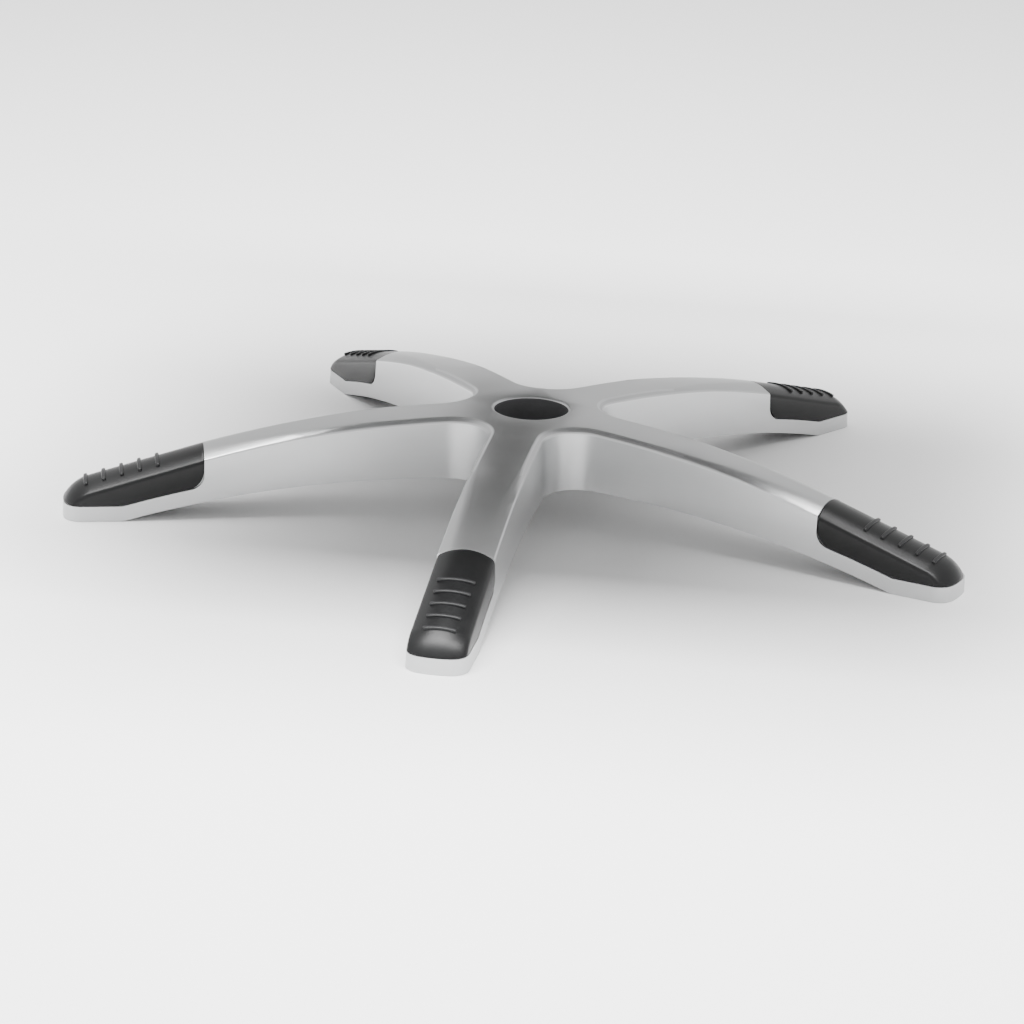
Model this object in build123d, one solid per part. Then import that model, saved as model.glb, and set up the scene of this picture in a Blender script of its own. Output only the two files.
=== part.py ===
"""Five-armed swivel chair base: a hollow ribbed star moulding and five clip-on foot pads.

The origin is on the hub axis, at the mouth of the hub's taper. The first arm points along -Y.
Everything is modelled on an arm along +X, copied round the hub and turned at the end.
"""
from build123d import *

import os
from math import atan, atan2, cos, degrees, hypot, radians, sin, sqrt, tan

# Star: the arms in plan, drawn in the plane of the flats under their tips
arm_count = 5
star_radius = 318.0
root_width = 44.0
tip_width = 39.4
nose_bulge = 3.0
nose_corner = 12.0
crotch_radius = 23.0
side_draft = 2.5

# Star: the arms from the side, heights above the plane of the flats under their tips
hub_height = 71.2
crest_radius = 20.0
tip_height = 25.2
root_clearance = 28.2
root_flat = 70.0

# Star: crown of the arms, flat at the hub, with bevels down each side that widen from there to the pads
bevel_width = 11.5
bevel_drop = 5.0
crown_facets = 3
bevel_start = 64.0
shoulder_break = 3.0

# Star: walls and ribs of the hollow underside
wall = 3.6
rib = 2.4
rib_recess = 2.5
rib_bays = 3

# Hub: the tapered bore, and the tube round it
taper_mouth = 50.4
taper_half_angle = 1.432
taper_lead = 1.2
hub_tube_wall = 6.8
hub_tube_length = 48.0

# Tips: stem sockets right through them, which the pads close at the top
caster_inset = 18.0
seat_length = 40.0
socket_diameter = 11.0
boss_wall = 4.2

# Foot pads: flush caps over the arm ends, with a silver band left below them
pad_length = 95.0
pad_wall = 3.0
pad_fit = 0.15
seat_relief = 0.5
seam_gap = 0.3
band_height = 10.3
pad_corner = 10.5
nose_length = 15.0
nose_bow = 1.5

# Foot pads: anti-slip ridges
ridge_count = 5
ridge_pitch = 12.0
ridge_last = 15.5
ridge_length_inner = 24.6
ridge_length_outer = 20.8
ridge_width = 2.2
ridge_height = 1.2

# Foot pads: snap hooks that pass through slots in the arm
hook_stations = (16.0, 48.0)
hook_width = 9.4
hook_thickness = 2.4
hook_catch = 1.3
hook_height = 2.6
hook_clearance = 0.2

# Places worked out from the sizes above
seat_z = -hub_height
root_z = seat_z + root_clearance
caster_radius = star_radius - caster_inset
seat_start = star_radius - seat_length
pad_start = star_radius - pad_length
hub_tube_radius = taper_mouth / 2 + hub_tube_wall
seat_inset = pad_wall + pad_fit
pocket_inset = seat_inset + wall
overrun = 10.0
reach = star_radius + overrun
low_z = seat_z - overrun

# Top line of an arm: level to the crest, then one arc down to the tip
spine_drop = hub_height - tip_height
spine_run = caster_radius - crest_radius
spine_radius = (spine_run**2 + spine_drop**2) / (2 * spine_drop)

# Lower edge of an arm: level at the root, then one arc down to the flat under the tip
arch_run = seat_start - root_flat
arch_radius = (arch_run**2 + root_clearance**2) / (2 * root_clearance)

# Crown of the arms where the pads begin: a ridge and bevels that touch one arc, the last bevel the steepest
bevel_angle = atan(bevel_drop / bevel_width)
facet_angle = bevel_angle / crown_facets
pad_share = pad_start / star_radius
pad_width = root_width + (tip_width - root_width) * pad_share
pad_rise = hub_height - (pad_start - crest_radius) ** 2 / (2 * spine_radius)
ridge_half = pad_width / 2 - pad_rise * tan(radians(side_draft)) - bevel_width
crown_radius = ridge_half / tan(bevel_angle / 2)

# Flat core of an arm, as far below its ridge as leaves wall enough over its edges
core_depth = wall + bevel_drop / 2

# Seat of the pads: a flat as far below their top line as clears the inside of their bevels
seat_half = ridge_half + bevel_width - seat_inset + (bevel_drop + pad_wall) * tan(radians(side_draft))
seat_ridge = ridge_half - seat_inset * tan(bevel_angle / 2)
seat_depth = seat_inset + (seat_half - seat_ridge) * tan(bevel_angle) + seat_relief
roof_depth = seat_depth + wall


def spine_z(r, inset=0.0):
    """Height of the arm's top line at radius r, or of a line inset below it."""
    return sqrt((spine_radius - inset) ** 2 - (r - crest_radius) ** 2) - spine_radius


def arch_z(r):
    """Height of the arm's lower edge at radius r."""
    if r <= root_flat:
        return root_z
    if r >= seat_start:
        return seat_z
    return root_z - arch_radius + sqrt(arch_radius**2 - (r - root_flat) ** 2)


def around(shape):
    """Copies of a shape made on the +X arm, one for each arm."""
    return [Rot(Z=360 / arm_count * i) * shape for i in range(arm_count)]


def pad_chord(index):
    """Place and slope of one chord of a pad's top line: 0 is its back, and 1 and 2 are its nose."""
    seam = Vector(pad_start, 0, spine_z(pad_start))
    brow = Vector(star_radius - nose_length, 0, spine_z(star_radius - nose_length))
    foot = Vector(star_radius, 0, seat_z + band_height)
    slope = foot - brow
    bend = (brow + foot) * 0.5 + Vector(-slope.Z, 0, slope.X).normalized() * nose_bow
    corners = [seam, brow, bend, foot]
    start, end = corners[index : index + 2]
    return Pos(start) * Rot(Y=degrees(atan2(start.Z - end.Z, end.X - start.X)))


def pad_frame(r):
    """Place at radius r on the back of a pad, with Z square to it and Y across the arm."""
    chord = pad_chord(0)
    return chord * Pos((r - pad_start) / cos(radians(chord.orientation.Y)), 0, 0)


def arm_plan(inset):
    """Outline of one arm along +X, from the hub axis to the nose."""
    nose = star_radius - inset
    shoulder = nose - nose_bulge
    tip = tip_width / 2 - inset
    root = root_width / 2 - inset
    sides = Polyline((shoulder, tip), (0, root), (0, -root), (shoulder, -tip))
    front = ThreePointArc((shoulder, -tip), (nose, 0), (shoulder, tip))
    face = make_face([*sides.edges(), front])
    corners = face.vertices().sort_by(Axis.X)[-2:]
    if inset:
        return chamfer(corners, nose_corner / 2)
    return fillet(corners, nose_corner)


def star_plan(inset):
    """Outline of all arms, with a round crotch between each two."""
    arms = around(arm_plan(inset))
    star = arms[0].fuse(*arms[1:]).clean()
    crotches = star.vertices().sort_by(lambda v: hypot(v.X, v.Y))[:arm_count]
    return fillet(crotches, crotch_radius + inset)


def drafted(plan, below=0.0):
    """Carry an outline up from the tips' plane with drafted sides, and straight down below it."""
    base = Plane.XY.offset(seat_z) * plan
    block = extrude(base, hub_height + overrun, taper=side_draft)
    if below:
        block += extrude(base, -below)
    return block


def across(profile):
    """Carry a side view of the arm right across it."""
    return extrude(Plane.XZ * profile, star_radius / 2, both=True)


def sector():
    """The slice of the star that belongs to the +X arm."""
    half = star_radius * tan(radians(180 / arm_count))
    wedge = make_face(Polyline((0, 0), (star_radius, half), (star_radius, -half), close=True))
    return extrude(Pos(0, 0, low_z) * wedge, hub_height + 2 * overrun)


def arch_line(start, lift=0.0):
    """Lower edge of the arm from a radius out to the flat under its tip, raised by a lift."""
    middle = (start + seat_start) / 2
    ends = [(r, arch_z(r) + lift) for r in (start, middle, seat_start)]
    return ThreePointArc(*ends)


def spine_line(start, end):
    """Top line of the arm between two radii."""
    middle = (start + end) / 2
    return ThreePointArc(*[(r, spine_z(r)) for r in (start, middle, end)])


def arm_side():
    """Side view of the arm from the hub axis to the pad, between its lower edge and its top line."""
    foot = (pad_start, arch_z(pad_start))
    middle = (root_flat + pad_start) / 2
    arch = ThreePointArc((root_flat, root_z), (middle, arch_z(middle)), foot)
    end = Line(foot, (pad_start, spine_z(pad_start)))
    spine = spine_line(pad_start, crest_radius)
    hub = Polyline((crest_radius, 0), (0, 0), (0, root_z), (root_flat, root_z))
    return make_face([arch, end, spine, *hub.edges()])


def pad_side(gap):
    """Side view of the room for a foot pad, drawn in by a gap."""
    start = pad_start + gap
    lift = band_height + gap
    rest = Polyline(
        (seat_start, seat_z + lift),
        (reach, seat_z + lift),
        (reach, overrun),
        (start, overrun),
        (start, arch_z(start) + lift),
    )
    side = make_face([arch_line(start, lift), *rest.edges()])
    corner = side.vertices().sort_by_distance((start, arch_z(start) + lift))[0]
    return fillet(corner, pad_corner - gap)


def tip_side():
    """Side view of the band that shows below a foot pad."""
    rest = Polyline((seat_start, seat_z), (reach, seat_z), (reach, overrun), (pad_start, overrun))
    end = Line((pad_start, overrun), (pad_start, arch_z(pad_start)))
    return make_face([arch_line(pad_start), *rest.edges(), end]) - pad_side(0)


def crowned(index, inset):
    """Everything under the crown along one chord of a pad, or under the same inset below it."""
    radius = (crown_radius - inset) / cos(facet_angle / 2)
    turns = [facet_angle * (i + 0.5) for i in range(crown_facets)]
    side = [(radius * sin(turn), radius * cos(turn) - crown_radius) for turn in turns]
    edge = root_width
    side.append((edge, side[-1][1] - (edge - side[-1][0]) * tan(bevel_angle)))
    side.append((edge, -hub_height - edge))
    outline = Polyline(*side, *[(-y, z) for y, z in reversed(side)], close=True)
    section = Plane.YZ * make_face(outline)
    return pad_chord(index) * extrude(section, pad_length + hub_height, both=True)


def below(depth):
    """Everything under a flat that lies a depth below the pad's top line."""
    block = Box(star_radius, star_radius, 2 * hub_height)
    return pad_frame(pad_start) * Pos(0, 0, -depth - hub_height) * block


def cored():
    """Everything under the arms' flat core, which follows the top line at a depth below it."""
    centre = Pos(crest_radius, 0, -spine_radius) * Rot(X=90)
    return centre * Cylinder(spine_radius - core_depth, star_radius)


def pad_block(inset):
    """The arm's end with the pad's nose bent down over it, inset from the pad's outside."""
    return drafted(arm_plan(inset)) & crowned(1, inset) & crowned(2, inset)


def snap_hook(station):
    """One hook under a pad, reaching through the arm's top skin and catching its lower side."""
    under = -roof_depth - hook_clearance
    half = hook_thickness / 2
    side = Polyline(
        (-half, -pad_wall / 2),
        (half, -pad_wall / 2),
        (half, under),
        (half + hook_catch, under),
        (half + hook_catch, under - hook_height / 3),
        (half, under - hook_height),
        (-half, under - hook_height),
        close=True,
    )
    leg = extrude(Plane.XZ * make_face(side), hook_width / 2, both=True)
    return pad_frame(pad_start + station) * leg


def hook_slot(station):
    """Slot for a hook, long enough for the hook to spring in."""
    room = hook_thickness + hook_catch + 2 * hook_clearance
    middle = hook_thickness / 2 + hook_clearance - room / 2
    depth = roof_depth + overrun / 2
    tool = Pos(middle, 0, -depth / 2) * Box(room, hook_width + 2 * hook_clearance, depth)
    return pad_frame(pad_start + station) * tool


def ridge(index):
    """One anti-slip ridge, flatter than a pad's crown, the outermost being the shortest."""
    share = index / (ridge_count - 1)
    half = (ridge_length_outer + (ridge_length_inner - ridge_length_outer) * share) / 2
    fall = (half - ridge_half) * tan(bevel_angle)
    end = ridge_height - fall / 2
    root = -fall - pad_wall / 2
    outline = Polyline(
        (-half, root),
        (-half, end),
        (-ridge_half, ridge_height),
        (ridge_half, ridge_height),
        (half, end),
        (half, root),
        close=True,
    )
    bar = extrude(Plane.YZ * make_face(outline), ridge_width / 2, both=True)
    return pad_frame(star_radius - ridge_last - ridge_pitch * index) * bar


def foot_pad():
    """A pad on the +X arm: a crowned cap with a sloping nose, ridges on top and hooks below."""
    cap = pad_block(0) & crowned(0, 0) & across(pad_side(seam_gap))
    inside = pad_block(pad_wall) & crowned(0, pad_wall)
    ridges = [ridge(i) - inside for i in range(ridge_count)]
    hooks = [snap_hook(station) for station in hook_stations]
    return (cap - inside) + ridges + hooks


def rib_grid():
    """Zigzag ribs under the +X arm and half the web to each crotch, clear of the lower edge."""
    bay = (pad_start - hub_tube_radius) / rib_bays
    angle = degrees(atan2(root_width, bay))
    strip = Rectangle(hypot(bay, root_width), rib)
    bars = []
    for i in range(rib_bays):
        lean = angle if i % 2 else -angle
        bars.append(Pos(hub_tube_radius + bay * (i + 0.5), 0) * Rot(Z=lean) * strip)
    web = Pos(hub_tube_radius, 0) * Rectangle(2 * crotch_radius, rib)
    for side in (-1, 1):
        bars.append(Rot(Z=side * 180 / arm_count) * web)
    grid = extrude(Pos(0, 0, low_z) * (Sketch() + bars), hub_height + 2 * overrun)
    side = make_face(
        [
            arch_line(root_flat, rib_recess),
            *Polyline(
                (seat_start, seat_z + rib_recess),
                (seat_start, overrun),
                (0, overrun),
                (0, root_z + rib_recess),
                (root_flat, root_z + rib_recess),
            ).edges(),
        ]
    )
    return grid & across(side)


def tip_ribs():
    """Socket boss at the end of the arm, backed by the nose."""
    boss = Circle(socket_diameter / 2 + boss_wall)
    back = Pos(caster_inset / 2, 0) * Rectangle(caster_inset, tip_width)
    return extrude(Pos(caster_radius, 0, seat_z) * (boss + back), hub_height)


def hub_tube():
    """Outside of the tube round the hub's taper, from its foot into the top wall."""
    return extrude(Pos(0, 0, -hub_tube_length) * Circle(hub_tube_radius), hub_tube_length - wall / 2)


def column_taper():
    """The hub's tapered bore, with a small lead-in at the mouth."""
    mouth = taper_mouth / 2
    slope = tan(radians(taper_half_angle))
    depth = hub_tube_length + overrun
    side = Polyline(
        (0, 0),
        (mouth + taper_lead, 0),
        (mouth - taper_lead * slope, -taper_lead),
        (mouth - depth * slope, -depth),
        (0, -depth),
        close=True,
    )
    return revolve(Plane.XZ * make_face(side), Axis.Z)


def bevel_cut(slope):
    """What one bevel takes off the +Y side of the arm, from nothing at the rim near the hub."""
    half = crown_radius * tan(slope / 2)
    edge = star_radius / 2
    rise = edge * tan(slope)
    outline = Polyline((-edge, -star_radius), (-edge, rise), (edge, -rise), (edge, -star_radius), close=True)
    centre = Axis((crest_radius, 0, -spine_radius), (0, 1, 0))
    turn = degrees(atan2(reach, spine_radius))
    face = Plane((crest_radius, 0, 0), x_dir=(0, 1, 0), z_dir=(1, 0, 0)) * make_face(outline)
    drum = revolve(face.rotate(centre, -turn), centre, 2 * turn)
    rim = root_width / 2 - hub_height * tan(radians(side_draft))
    spread = degrees(atan((rim - half) / (pad_start - bevel_start)))
    room = Pos(bevel_start + edge, edge, 0) * Box(star_radius, star_radius, star_radius)
    return room - Pos(pad_start, half, 0) * Rot(Z=-spread) * Pos(-pad_start, 0, 0) * drum


def arm_body():
    """Outside of the arm from the hub to the pad, with its shoulders broken and then its bevels cut."""
    body = drafted(star_plan(0)) & sector() & across(arm_side())
    rims = [wall_top(face) for face in drafted_walls(body)]
    body = chamfer(rims, shoulder_break)
    cuts = [bevel_cut(facet_angle * (i + 1)) for i in range(crown_facets)]
    return body - cuts - [mirror(cut, Plane.XZ) for cut in cuts]


def drafted_walls(body):
    """The upright faces that carry the moulding draft."""
    lean = sin(radians(side_draft))
    return body.faces().filter_by(lambda face: abs(face.normal_at().Z - lean) < lean / 2)


def wall_top(face):
    """Upper edge of an upright face."""
    return face.edges().sort_by(lambda edge: edge.center().Z)[-1]


def arm_hollow():
    """Hollow under the arm from the hub tube to the pad, less its ribs."""
    end = pad_start - wall
    room = Pos(end / 2, 0, 0) * Box(end, star_radius, 4 * hub_height)
    inside = drafted(star_plan(wall), overrun) & sector() & cored() & room
    return inside - hub_tube() - rib_grid()


def tip_pocket():
    """Hollow under the arm's end, less the socket boss and its webs."""
    start = pad_start - wall
    room = Pos(start + star_radius / 2, 0, 0) * Box(star_radius, star_radius, 4 * hub_height)
    inside = drafted(arm_plan(pocket_inset), overrun) & below(roof_depth) & room
    return inside - tip_ribs()


def star_arm():
    """One fifth of the star moulding: the arm, its end and its share of the hub."""
    tip = drafted(arm_plan(0)) & across(tip_side())
    core = pad_block(seat_inset) & below(seat_depth) & across(pad_seat_side())
    arm = arm_body() + tip + core
    socket = extrude(Pos(caster_radius, 0, seat_z) * Circle(socket_diameter / 2), hub_height)
    arm -= [arm_hollow(), tip_pocket(), socket]
    return arm - [hook_slot(station) for station in hook_stations]


def pad_seat_side():
    """Side view of the whole arm end, from just inside the pad's start."""
    start = pad_start - wall / 2
    rest = Polyline(
        (seat_start, seat_z),
        (reach, seat_z),
        (reach, overrun),
        (start, overrun),
        (start, arch_z(start)),
    )
    return make_face([arch_line(start), *rest.edges()])


def star_frame():
    """The star moulding: five arms round the hub tube, with the taper bored."""
    arms = around(star_arm())
    star = arms[0].fuse(*arms[1:], hub_tube()).clean()
    return star - column_taper()


nodes = {"star_frame": star_frame()}
for number, pad in enumerate(around(foot_pad()), 1):
    nodes[f"foot_pad_{number}"] = pad

os.makedirs("parts", exist_ok=True)
for name, solid in nodes.items():
    export_step(Rot(Z=-90) * solid, f"parts/{name}.step")
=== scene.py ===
import math

import bmesh
import bpy
from mathutils import Matrix, Vector
from mathutils.bvhtree import BVHTree
from mathutils.geometry import area_tri


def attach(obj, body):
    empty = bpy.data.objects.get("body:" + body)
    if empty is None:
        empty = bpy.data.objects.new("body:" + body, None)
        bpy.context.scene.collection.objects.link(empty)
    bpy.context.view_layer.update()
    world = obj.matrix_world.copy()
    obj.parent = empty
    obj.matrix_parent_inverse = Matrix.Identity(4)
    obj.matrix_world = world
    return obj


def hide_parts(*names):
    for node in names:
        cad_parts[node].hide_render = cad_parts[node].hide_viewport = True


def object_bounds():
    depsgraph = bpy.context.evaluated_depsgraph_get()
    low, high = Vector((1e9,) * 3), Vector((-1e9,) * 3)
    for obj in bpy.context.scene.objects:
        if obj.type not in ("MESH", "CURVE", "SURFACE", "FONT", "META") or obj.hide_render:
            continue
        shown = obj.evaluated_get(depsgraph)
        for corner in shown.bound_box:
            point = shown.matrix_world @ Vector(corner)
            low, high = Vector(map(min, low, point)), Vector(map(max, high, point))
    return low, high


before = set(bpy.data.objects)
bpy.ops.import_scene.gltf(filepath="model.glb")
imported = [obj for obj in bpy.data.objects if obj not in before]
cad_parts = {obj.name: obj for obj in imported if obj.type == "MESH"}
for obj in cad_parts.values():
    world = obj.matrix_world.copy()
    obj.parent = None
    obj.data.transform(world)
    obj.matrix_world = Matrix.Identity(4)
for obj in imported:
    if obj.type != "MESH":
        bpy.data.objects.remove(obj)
cad_low, cad_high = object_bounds()

# Star: one moulding of glass-filled nylon, five arched arms round a hub, sprayed satin silver.
# The arms are hollow below, with zigzag ribs, so that the mould draws off downwards.
# The broken edges are rounded here and painted a lighter silver as a painted highlight, and what the
# spray doesn't reach stays the bare grey of the nylon.
arm_count = 5
weld = 1e-5
flat_turn = math.radians(0.5)
shoulder_turns = (30, 75)
shoulder_round = 0.0011
shoulder_steps = 4
lowest_facing = -0.02
smooth_turn = 35
spray_lifts = (-8, 15, 40)
spray_turns = 12
spray_clear = 1e-5
underside_facing = -0.5
hub_tube = 0.0326
hub_mask = -0.0015
silver = (0.55, 0.555, 0.555, 1)
silver_shade = (0.47, 0.475, 0.48, 1)
# A lighter silver for the rounded edges: a painted highlight.
silver_edge_highlight = (0.74, 0.745, 0.75, 1)
bare_nylon = (0.075, 0.076, 0.079, 1)
paint_metal = 0.88
paint_roughness = 0.27
streak_roughness = 0.08
cloud_roughness = 0.06
bare_roughness = 0.22
streak_tone = 0.35
cloud_tone = 0.5
# How much of the painted edge highlight shows, patchy with the cloud noise.
edge_highlight_least = 0.25
edge_highlight_cloud = 0.4
streak_scale = (9, 9, 420)
paint_cloud = 14.0
paint_grain = 2600.0
paint_grain_depth = 0.0002
paint_grain_strength = 0.08


def joined_copy(node):
    """A solid's own mesh with its loose triangles joined and its flat faces made whole."""
    shape = bmesh.new()
    shape.from_mesh(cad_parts[node].data)
    bmesh.ops.remove_doubles(shape, verts=shape.verts, dist=weld)
    bmesh.ops.dissolve_limit(shape, angle_limit=flat_turn, verts=shape.verts, edges=shape.edges)
    return shape


def creases(shape, turns):
    """Outward edges that turn by an angle between two limits, in degrees."""
    low, high = turns
    pairs = [edge for edge in shape.edges if len(edge.link_faces) == 2]
    return [edge for edge in pairs if low < math.degrees(edge.calc_face_angle_signed()) < high]


def round_off(shape, edges, width, steps):
    """Round a run of edges, and give the new faces."""
    made = bmesh.ops.bevel(
        shape,
        geom=edges,
        offset=width,
        offset_type="OFFSET",
        segments=steps,
        profile=0.5,
        affect="EDGES",
        material=-1,
        clamp_overlap=False,
        loop_slide=True,
    )
    return made["faces"]


def finished(shape, name, sharp=smooth_turn):
    """A piece with smooth faces that breaks only at its sharp edges."""
    mesh = bpy.data.meshes.new(name)
    for face in shape.faces:
        face.smooth = True
    for edge in shape.edges:
        edge.smooth = len(edge.link_faces) == 2 and edge.calc_face_angle() < math.radians(sharp)
    shape.to_mesh(mesh)
    shape.free()
    piece = bpy.data.objects.new(name, mesh)
    bpy.context.scene.collection.objects.link(piece)
    return piece


def faces_up(edge):
    """Whether no face beside an edge looks down."""
    return min(face.normal.z for face in edge.link_faces) > lowest_facing


def mark(shape, name, faces):
    """Set an attribute on some faces, which the material reads."""
    layer = shape.faces.layers.float[name]
    for face in faces:
        face[layer] = 1


def inner_points(shape):
    """A point well inside each face: the middle of its largest triangle."""
    best = {}
    for loops in shape.calc_loop_triangles():
        corners = [loop.vert.co for loop in loops]
        size = area_tri(*corners)
        face = loops[0].face
        if size > best.get(face, (0, None))[0]:
            best[face] = (size, sum(corners, Vector()) / 3)
    return {face: point for face, (size, point) in best.items()}


def spray_ways(lift):
    """The ways out, all round, at a lift above level in degrees."""
    rise = math.radians(lift)
    turns = [math.tau * step / spray_turns for step in range(spray_turns)]
    level = [Vector((math.cos(turn), math.sin(turn), 0)) * math.cos(rise) for turn in turns]
    return [way + Vector((0, 0, math.sin(rise))) for way in level]


def sprayed(tree, face, point):
    """Whether spray from round about and above reaches a face, with the hub's tube masked off."""
    if math.hypot(point.x, point.y) < hub_tube and point.z < hub_mask:
        return False
    start = point + face.normal * spray_clear
    for lift in spray_lifts:
        if lift < 0 and face.normal.z > underside_facing:
            continue
        for way in spray_ways(lift):
            if way.dot(face.normal) > 0 and tree.ray_cast(start, way)[0] is None:
                return True
    return False


star_shape = joined_copy("star_frame")
star_shape.faces.layers.float.new("edge_highlight")
star_shape.faces.layers.float.new("bare")
star_tree = BVHTree.FromBMesh(star_shape)
points = inner_points(star_shape)
mark(star_shape, "bare", [face for face in points if not sprayed(star_tree, face, points[face])])
shoulders = [edge for edge in creases(star_shape, shoulder_turns) if faces_up(edge)]
# The rounded shoulders are marked for the painted highlight in the material.
mark(star_shape, "edge_highlight", round_off(star_shape, shoulders, shoulder_round, shoulder_steps))
star = finished(star_shape, "star_moulding")


class Value:
    """A socket that Python's own operators do sums on, by adding Math nodes."""

    def __init__(self, finish, socket):
        self.finish = finish
        self.socket = socket

    def sum(self, operation, first, second):
        return self.finish.node("ShaderNodeMath", {"operation": operation}, {0: first, 1: second})

    def __add__(self, other):
        return self.sum("ADD", self, other)

    __radd__ = __add__

    def __sub__(self, other):
        return self.sum("SUBTRACT", self, other)

    def __rsub__(self, other):
        return self.sum("SUBTRACT", other, self)

    def __mul__(self, other):
        return self.sum("MULTIPLY", self, other)

    __rmul__ = __mul__


class Finish:
    """A material with the values that are the same all over it, and the maker of its nodes."""

    def __init__(self, name, same):
        self.material = bpy.data.materials.new(name)
        self.material.use_nodes = True
        self.tree = self.material.node_tree
        self.surface = self.tree.nodes["Principled BSDF"]
        for key, value in same.items():
            self.surface.inputs[key].default_value = value

    def node(self, kind, settings, sockets, out=0):
        made = self.tree.nodes.new(kind)
        for key, value in settings.items():
            setattr(made, key, value)
        for key, value in sockets.items():
            if isinstance(value, Value):
                self.tree.links.new(value.socket, made.inputs[key])
            else:
                made.inputs[key].default_value = value
        return Value(self, made.outputs[out])

    def place(self):
        """Object coordinates."""
        return self.node("ShaderNodeTexCoord", {}, {}, out=3)

    def noise(self, place, scale, detail):
        return self.node("ShaderNodeTexNoise", {}, {"Vector": place, "Scale": scale, "Detail": detail})

    def marked(self, name):
        """What a face attribute says."""
        return self.node("ShaderNodeAttribute", {"attribute_name": name}, {}, out=2)

    def mix(self, share, one, other):
        return self.node("ShaderNodeMix", {"data_type": "RGBA"}, {0: share, 6: one, 7: other}, out=2)

    def bump(self, height, depth, strength):
        return self.node(
            "ShaderNodeBump", {}, {"Strength": strength, "Distance": depth, "Height": height}
        )

    def feed(self, name, value):
        self.tree.links.new(value.socket, self.surface.inputs[name])

    def cover(self, piece):
        piece.data.materials.clear()
        piece.data.materials.append(self.material)


paint = Finish("silver_paint", {})
place = paint.place()
streak_place = paint.node("ShaderNodeMapping", {}, {0: place, 3: streak_scale})
streak = paint.noise(streak_place, 1.0, 4.0)
cloud = paint.noise(place, paint_cloud, 3.0)
grain = paint.noise(place, paint_grain, 1.0)
edge_highlight = paint.marked("edge_highlight")
bare = paint.marked("bare")
coat = paint.mix(streak * streak_tone + cloud * cloud_tone, silver_shade, silver)
# Painted highlight: the rounded edges turn a lighter silver, patchy with the cloud noise.
coat = paint.mix(edge_highlight * (edge_highlight_least + cloud * edge_highlight_cloud), coat, silver_edge_highlight)
coat_roughness = paint_roughness + streak * streak_roughness + cloud * cloud_roughness
paint.feed("Base Color", paint.mix(bare, coat, bare_nylon))
paint.feed("Metallic", paint_metal * (1 - bare))
paint.feed("Roughness", coat_roughness + bare * bare_roughness)
paint.feed("Normal", paint.bump(grain, paint_grain_depth, paint_grain_strength))
paint.cover(star)
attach(star, "root")
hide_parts("star_frame")

# Foot pads: thin caps of black polypropylene that clip flush over the ends of the arms.
# Each is a crowned skin that bends down at the nose, with five cross ridges against slipping, which are
# painted a lighter black that is partly rubbed plastic and partly a painted highlight.
# The first is made lying along X, then turned to its arm, and the others are turned copies of it.
pad_seam = Vector((0.2233, 0, -0.02396))
pad_slope = math.radians(16.14)
pad_run = 0.0803
pad_run_steps = 8
pad_lead = 0.006
nose_round = 0.028
nose_turn = math.radians(47.7)
nose_steps = 14
pad_crown = 0.0327
crown_half = 0.01635
crown_steps = 9
pad_widening = 0.28
pad_shoulder = 0.0045
pad_shoulder_steps = 6
pad_draft = math.radians(2.5)
pad_skin = 0.0026
rim_level = -0.0606
rim_corner = 0.0105
rim_corner_start = 0.0022
rim_corner_steps = 12
rim_round = 0.0003
rim_steps = 2
rim_weld = 5e-4
cut_weld = 2e-5
line_weld = 1e-6
square_turns = (60, 120)
pad_smooth_turn = 50
arch_start = 0.070
arch_end = 0.278
arch_top = -0.0324
arch_radius = 0.7812
ridge_count = 5
ridge_last = 0.0824
ridge_pitch = 0.0125
ridge_lengths = (0.0208, 0.0246)
ridge_width = 0.0026
ridge_height = 0.0012
ridge_depth = 0.0036
ridge_arc = 0.045
ridge_bend_steps = 10
ridge_round = 0.0008
ridge_round_steps = 3
hook_places = (0.01634, 0.04966)
hook_half = 0.0012
hook_catch = 0.0013
hook_width = 0.0094
hook_levels = (-0.0015, -0.0115, -0.0124, -0.0141)
black = (0.005, 0.0051, 0.0053, 1)
black_dusty = (0.009, 0.0092, 0.0095, 1)
# A lighter black for the ridges: rubbed plastic, and partly a painted highlight along them.
black_rub_and_highlight = (0.020, 0.0204, 0.0211, 1)
pad_sheen = 0.26
pad_roughness = 0.28
dust_roughness = 0.12
rub_roughness = 0.05
rub_highlight_least = 0.5
rub_highlight_cloud = 0.5
pad_cloud = 60.0
pad_grain = 1500.0
pad_grain_depth = 0.0003
pad_grain_strength = 0.2


def rim_z(x):
    """Height of the pad's lower edge, which follows the arch of the arm and turns up at its inner end."""
    level = rim_level
    if x < arch_end:
        level = arch_top - arch_radius + math.sqrt(arch_radius**2 - (x - arch_start) ** 2)
    short = rim_corner - (x - pad_seam.x)
    if short > 0:
        level += rim_corner - math.sqrt(max(rim_corner**2 - short**2, 0))
    return level


def made_of(made, kind):
    """The new vertices, edges or faces of an operator's answer."""
    return [item for item in made["geom"] if isinstance(item, kind)]


def everything(shape):
    return list(shape.verts) + list(shape.edges) + list(shape.faces)


def draw_section(shape):
    """The line across a pad: half the crown and one shoulder, mirrored."""
    lean = math.asin(crown_half / pad_crown)
    top = bmesh.ops.create_vert(shape, co=(0, 0, 0))["vert"][0]
    bmesh.ops.spin(
        shape, geom=[top], cent=(0, 0, -pad_crown), axis=(1, 0, 0), angle=-lean, steps=crown_steps
    )
    side = max(shape.verts, key=lambda vert: vert.co.y)
    centre = side.co - Vector((0, math.sin(lean), math.cos(lean))) * pad_shoulder
    turn = math.pi / 2 - pad_draft - lean
    bmesh.ops.spin(
        shape, geom=[side], cent=centre, axis=(1, 0, 0), angle=-turn, steps=pad_shoulder_steps
    )
    bmesh.ops.mirror(shape, geom=everything(shape), axis="Y", merge_dist=line_weld)
    bmesh.ops.remove_doubles(shape, verts=shape.verts, dist=line_weld)


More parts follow.
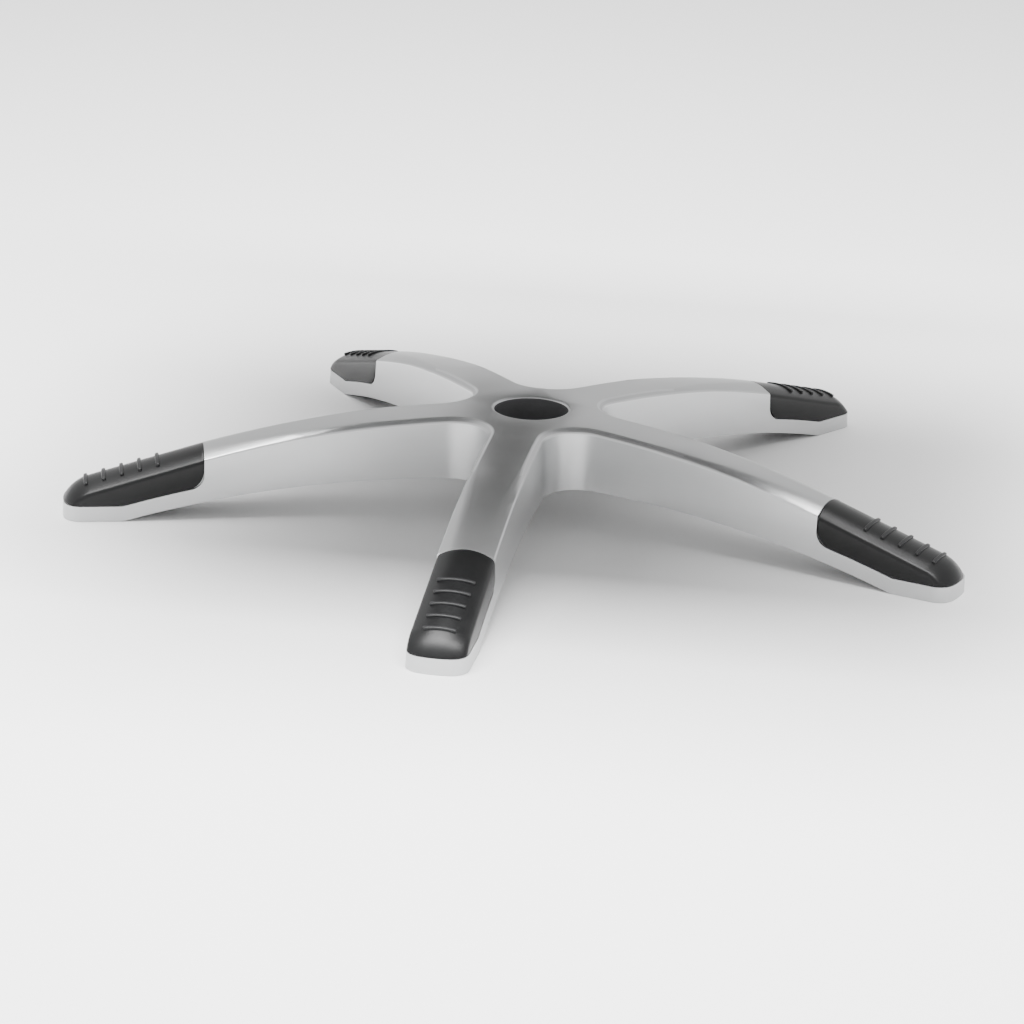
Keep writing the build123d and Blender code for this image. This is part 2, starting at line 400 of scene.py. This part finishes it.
def draw_out(shape):
    """Carry the line along the pad, in short steps at the rim's corner, and then round the nose."""
    bends = [math.pi / 2 * step / rim_corner_steps for step in range(1, rim_corner_steps + 1)]
    stations = [pad_lead + rim_corner_start + rim_corner * (1 - math.cos(bend)) for bend in bends]
    corner_end = stations[-1]
    run_left = pad_lead + pad_run - corner_end
    stations += [corner_end + run_left * step / pad_run_steps for step in range(1, pad_run_steps + 1)]
    line = list(shape.edges)
    reached = 0
    for station in stations:
        made = bmesh.ops.extrude_edge_only(shape, edges=line)
        ends = made_of(made, bmesh.types.BMVert)
        bmesh.ops.translate(shape, verts=ends, vec=(station - reached, 0, 0))
        line = [edge for edge in made_of(made, bmesh.types.BMEdge) if all(v in ends for v in edge.verts)]
        reached = station
    centre = (reached, 0, -nose_round)
    bmesh.ops.spin(shape, geom=line, cent=centre, axis=(0, 1, 0), angle=nose_turn, steps=nose_steps)


def is_eave(edge):
    """Whether an edge is on the open side of the skin, above the level rim."""
    first, second = edge.verts
    return (
        edge.is_boundary
        and abs(first.co.x - second.co.x) > weld
        and max(first.co.z, second.co.z) > rim_level + weld
        and min(first.co.x, second.co.x) > pad_seam.x - line_weld
        and min(abs(first.co.y), abs(second.co.y)) > crown_half
    )


def by_place(vert):
    """A sorting key that is the same in each run, because a cut gives its vertices in any order."""
    return tuple(round(ordinate, 6) for ordinate in vert.co)


def drop_sides(shape):
    """Carry the open sides of the skin down to the rim, at the moulding's draft."""
    eaves = [edge for edge in shape.edges if is_eave(edge)]
    made = bmesh.ops.extrude_edge_only(shape, edges=eaves)
    for vert in made_of(made, bmesh.types.BMVert):
        foot = min(rim_z(vert.co.x), vert.co.z)
        vert.co.y += math.copysign((vert.co.z - foot) * math.tan(pad_draft), vert.co.y)
        vert.co.z = foot
    bmesh.ops.remove_doubles(shape, verts=sorted(shape.verts, key=by_place), dist=rim_weld)


def ridge_bar(number):
    """One cross ridge, flatter than the crown and sunk into the skin, the outermost the shortest."""
    bar = bmesh.new()
    shortest, longest = ridge_lengths
    length = shortest + (longest - shortest) * number / (ridge_count - 1)
    half_turn = length / 2 / ridge_arc
    bmesh.ops.create_grid(bar, x_segments=1, y_segments=1, size=0.5)
    bmesh.ops.scale(bar, verts=bar.verts, vec=(ridge_width, ridge_depth, 1))
    sink = Matrix.Translation((0, 0, ridge_height - ridge_depth / 2))
    bmesh.ops.transform(bar, matrix=sink @ Matrix.Rotation(math.pi / 2, 4, "X"), verts=bar.verts)
    centre = (0, 0, -ridge_arc)
    bmesh.ops.rotate(bar, verts=bar.verts, cent=centre, matrix=Matrix.Rotation(half_turn, 3, "X"))
    bmesh.ops.spin(
        bar,
        geom=everything(bar),
        cent=centre,
        axis=(1, 0, 0),
        angle=-2 * half_turn,
        steps=ridge_bend_steps,
    )
    bmesh.ops.recalc_face_normals(bar, faces=bar.faces)
    round_off(bar, creases(bar, square_turns), ridge_round, ridge_round_steps)
    return bar


def snap_hook():
    """One hook below the skin, with a catch on its outer side."""
    hook = bmesh.new()
    high, catch_top, catch_foot, low = hook_levels
    reach = hook_half + hook_catch
    outline = [(-hook_half, high), (hook_half, high), (hook_half, catch_top), (reach, catch_top)]
    outline += [(reach, catch_foot), (hook_half, low), (-hook_half, low)]
    corners = [bmesh.ops.create_vert(hook, co=(x, -hook_width / 2, z))["vert"][0] for x, z in outline]
    bmesh.ops.contextual_create(hook, geom=corners)
    made = bmesh.ops.extrude_face_region(hook, geom=list(hook.faces))
    bmesh.ops.translate(hook, verts=made_of(made, bmesh.types.BMVert), vec=(0, hook_width, 0))
    bmesh.ops.recalc_face_normals(hook, faces=hook.faces)
    return hook


def join_in(shape, part, place):
    """Add a part to a shape at a place, and give the part's faces there."""
    for face in shape.faces:
        face.tag = True
    bmesh.ops.transform(part, matrix=place, verts=part.verts)
    mesh = bpy.data.meshes.new("part")
    part.to_mesh(mesh)
    part.free()
    shape.from_mesh(mesh)
    bpy.data.meshes.remove(mesh)
    return [face for face in shape.faces if not face.tag]


skin = bmesh.new()
draw_section(skin)
draw_out(skin)
lay = Matrix.Translation(pad_seam) @ Matrix.Rotation(pad_slope, 4, "Y")
bmesh.ops.transform(skin, matrix=lay @ Matrix.Translation((-pad_lead, 0, 0)), verts=skin.verts)
for place, outward in (((0, 0, rim_level), (0, 0, -1)), (pad_seam, (-1, 0, 0))):
    bmesh.ops.bisect_plane(
        skin, geom=everything(skin), plane_co=place, plane_no=outward, clear_outer=True
    )
bmesh.ops.remove_doubles(skin, verts=skin.verts, dist=cut_weld)
for vert in skin.verts:
    vert.co.y *= 1 + (vert.co.x - pad_seam.x) * pad_widening
drop_sides(skin)
bmesh.ops.recalc_face_normals(skin, faces=skin.faces)
bmesh.ops.solidify(skin, geom=list(skin.faces), thickness=pad_skin)
for vert in skin.verts:
    vert.co.z = max(vert.co.z, rim_z(vert.co.x))
round_off(skin, creases(skin, square_turns), rim_round, rim_steps)
skin.faces.layers.float.new("rub_and_highlight")
for number in range(ridge_count):
    along = ridge_last - ridge_pitch * number
    bar_faces = join_in(skin, ridge_bar(number), lay @ Matrix.Translation((along, 0, 0)))
    # The ridge faces are marked for the lighter black of rubbing and painted highlight, and for their
    # smoother finish.
    mark(skin, "rub_and_highlight", bar_faces)
for along in hook_places:
    join_in(skin, snap_hook(), lay @ Matrix.Translation((along, 0, 0)))
bmesh.ops.transform(skin, matrix=Matrix.Rotation(-math.pi / 2, 4, "Z"), verts=skin.verts)
pad = finished(skin, "arm_pad_1", pad_smooth_turn)

plastic = Finish("black_pad", {"Specular IOR Level": pad_sheen})
place = plastic.place()
grain = plastic.noise(place, pad_grain, 3.0)
cloud = plastic.noise(place, pad_cloud, 4.0)
rub_and_highlight = plastic.marked("rub_and_highlight")
moulded = plastic.mix(cloud, black, black_dusty)
# The ridges turn a lighter black, partly rubbed plastic and partly a painted highlight, patchy with the
# cloud noise.
plastic.feed("Base Color", plastic.mix(rub_and_highlight * (rub_highlight_least + cloud * rub_highlight_cloud), moulded, black_rub_and_highlight))
plastic.feed("Roughness", pad_roughness + cloud * dust_roughness + rub_and_highlight * rub_roughness)
plastic.feed("Normal", plastic.bump(grain, pad_grain_depth, pad_grain_strength))
pads = [pad]
for number in range(2, arm_count + 1):
    copy = bpy.data.objects.new(f"arm_pad_{number}", pad.data.copy())
    copy.data.transform(Matrix.Rotation(math.tau / arm_count * (number - 1), 4, "Z"))
    bpy.context.scene.collection.objects.link(copy)
    pads.append(copy)
for number, piece in enumerate(pads, 1):
    plastic.cover(piece)
    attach(piece, "root")
    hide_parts(f"foot_pad_{number}")

# Floor: a plain pale sheet, far larger than the base, that it stands on.
# It lies a hair below the lowest face, so that the two don't flicker.
floor_half = 6
floor_drop = 0.0002
floor_white = (0.9, 0.9, 0.9, 1)
floor_shape = bmesh.new()
bmesh.ops.create_grid(floor_shape, x_segments=1, y_segments=1, size=floor_half)
bmesh.ops.translate(floor_shape, verts=floor_shape.verts, vec=(0, 0, cad_low.z - floor_drop))
floor = finished(floor_shape, "floor")
floor_finish = Finish("floor", {"Base Color": floor_white, "Roughness": 0.7, "Specular IOR Level": 0.2})
floor_finish.cover(floor)

# Cards: dark panels that hang clear over the base, out of the camera's sight.
# The crowned tops reflect the lower one and its flap, and the upper one's soft shade lies on the floor.
card_side = 0.38
card_level = 0.20
flap_width = 0.085
flap_height = 0.15
flap_place = (-0.047, 0.19, 0.125)
shade_side = 0.60
shade_level = 0.27
card_grey = (0.08, 0.08, 0.08, 1)


def panel(name, width, depth, place, tip=0.0):
    """A flat sheet at a place, tipped up about X."""
    shape = bmesh.new()
    bmesh.ops.create_grid(shape, x_segments=1, y_segments=1, size=0.5)
    bmesh.ops.scale(shape, verts=shape.verts, vec=(width, depth, 1))
    bmesh.ops.rotate(shape, verts=shape.verts, matrix=Matrix.Rotation(tip, 3, "X"))
    bmesh.ops.translate(shape, verts=shape.verts, vec=place)
    return finished(shape, name)


card = panel("dark_card", card_side, card_side, (0, 0, card_level))
flap = panel("dark_flap", flap_width, flap_height, flap_place, math.pi / 2)
shade = panel("shade_card", shade_side, shade_side, (0, 0, shade_level))
shade.visible_glossy = False
for flag in (card, flap):
    flag.visible_diffuse = False
    flag.visible_shadow = False
card_finish = Finish("dark_card", {"Base Color": card_grey, "Roughness": 0.9})
for flag in (card, flap, shade):
    card_finish.cover(flag)
    flag.visible_camera = False

# Light: an even white surround, as in a white room, with two large soft boxes.
# One hangs above and lights the tops, and the other stands forward and lights the front tip.
surround_white = (1, 1, 1, 1)
surround_strength = 1.15
top_place = (-0.3, 0.1, 2.3)
top_aim = (0, 0, 0)
top_size = (1.5, 1.5)
top_power = 135
front_place = (0, -0.62, 1.3)
front_aim = (0, -0.5, 0)
front_size = (1.9, 0.42)
front_power = 66


def soft_box(name, place, aim, size, power):
    """A rectangle of light at a place, turned to what it is aimed at."""
    lamp = bpy.data.lights.new(name, "AREA")
    lamp.shape = "RECTANGLE"
    lamp.size, lamp.size_y = size
    lamp.energy = power
    box = bpy.data.objects.new(name, lamp)
    box.location = place
    box.rotation_mode = "QUATERNION"
    box.rotation_quaternion = (Vector(aim) - Vector(place)).to_track_quat("-Z", "Y")
    bpy.context.scene.collection.objects.link(box)


world = bpy.data.worlds.new("studio")
world.use_nodes = True
surround = world.node_tree.nodes["Background"]
surround.inputs["Color"].default_value = surround_white
surround.inputs["Strength"].default_value = surround_strength
bpy.context.scene.world = world
soft_box("top", top_place, top_aim, top_size, top_power)
soft_box("front", front_place, front_aim, front_size, front_power)

# Camera: where the photograph was taken from, closed in on the base and turned to its middle.
# Its place comes from fitting the arms' ends and the hub to the photograph.
view_place = (0.375976, -2.205809, 0.714704)
view_right = Vector((0.98248216, 0.18366522, 0.03155759))
view_up = Vector((-0.09049865, 0.32219145, 0.94233893))
view_forward = Vector((-0.16290731, 0.92868712, -0.3331688))
lens = bpy.data.cameras.new("view")
lens.lens = 121.0
lens.sensor_width = 36.0
lens.clip_start = 0.05
lens.clip_end = 50
camera = bpy.data.objects.new("view", lens)
turn = Matrix((view_right, view_up, -view_forward)).transposed()
camera.matrix_world = Matrix.Translation(view_place) @ turn.to_4x4()
bpy.context.scene.collection.objects.link(camera)
bpy.context.scene.camera = camera
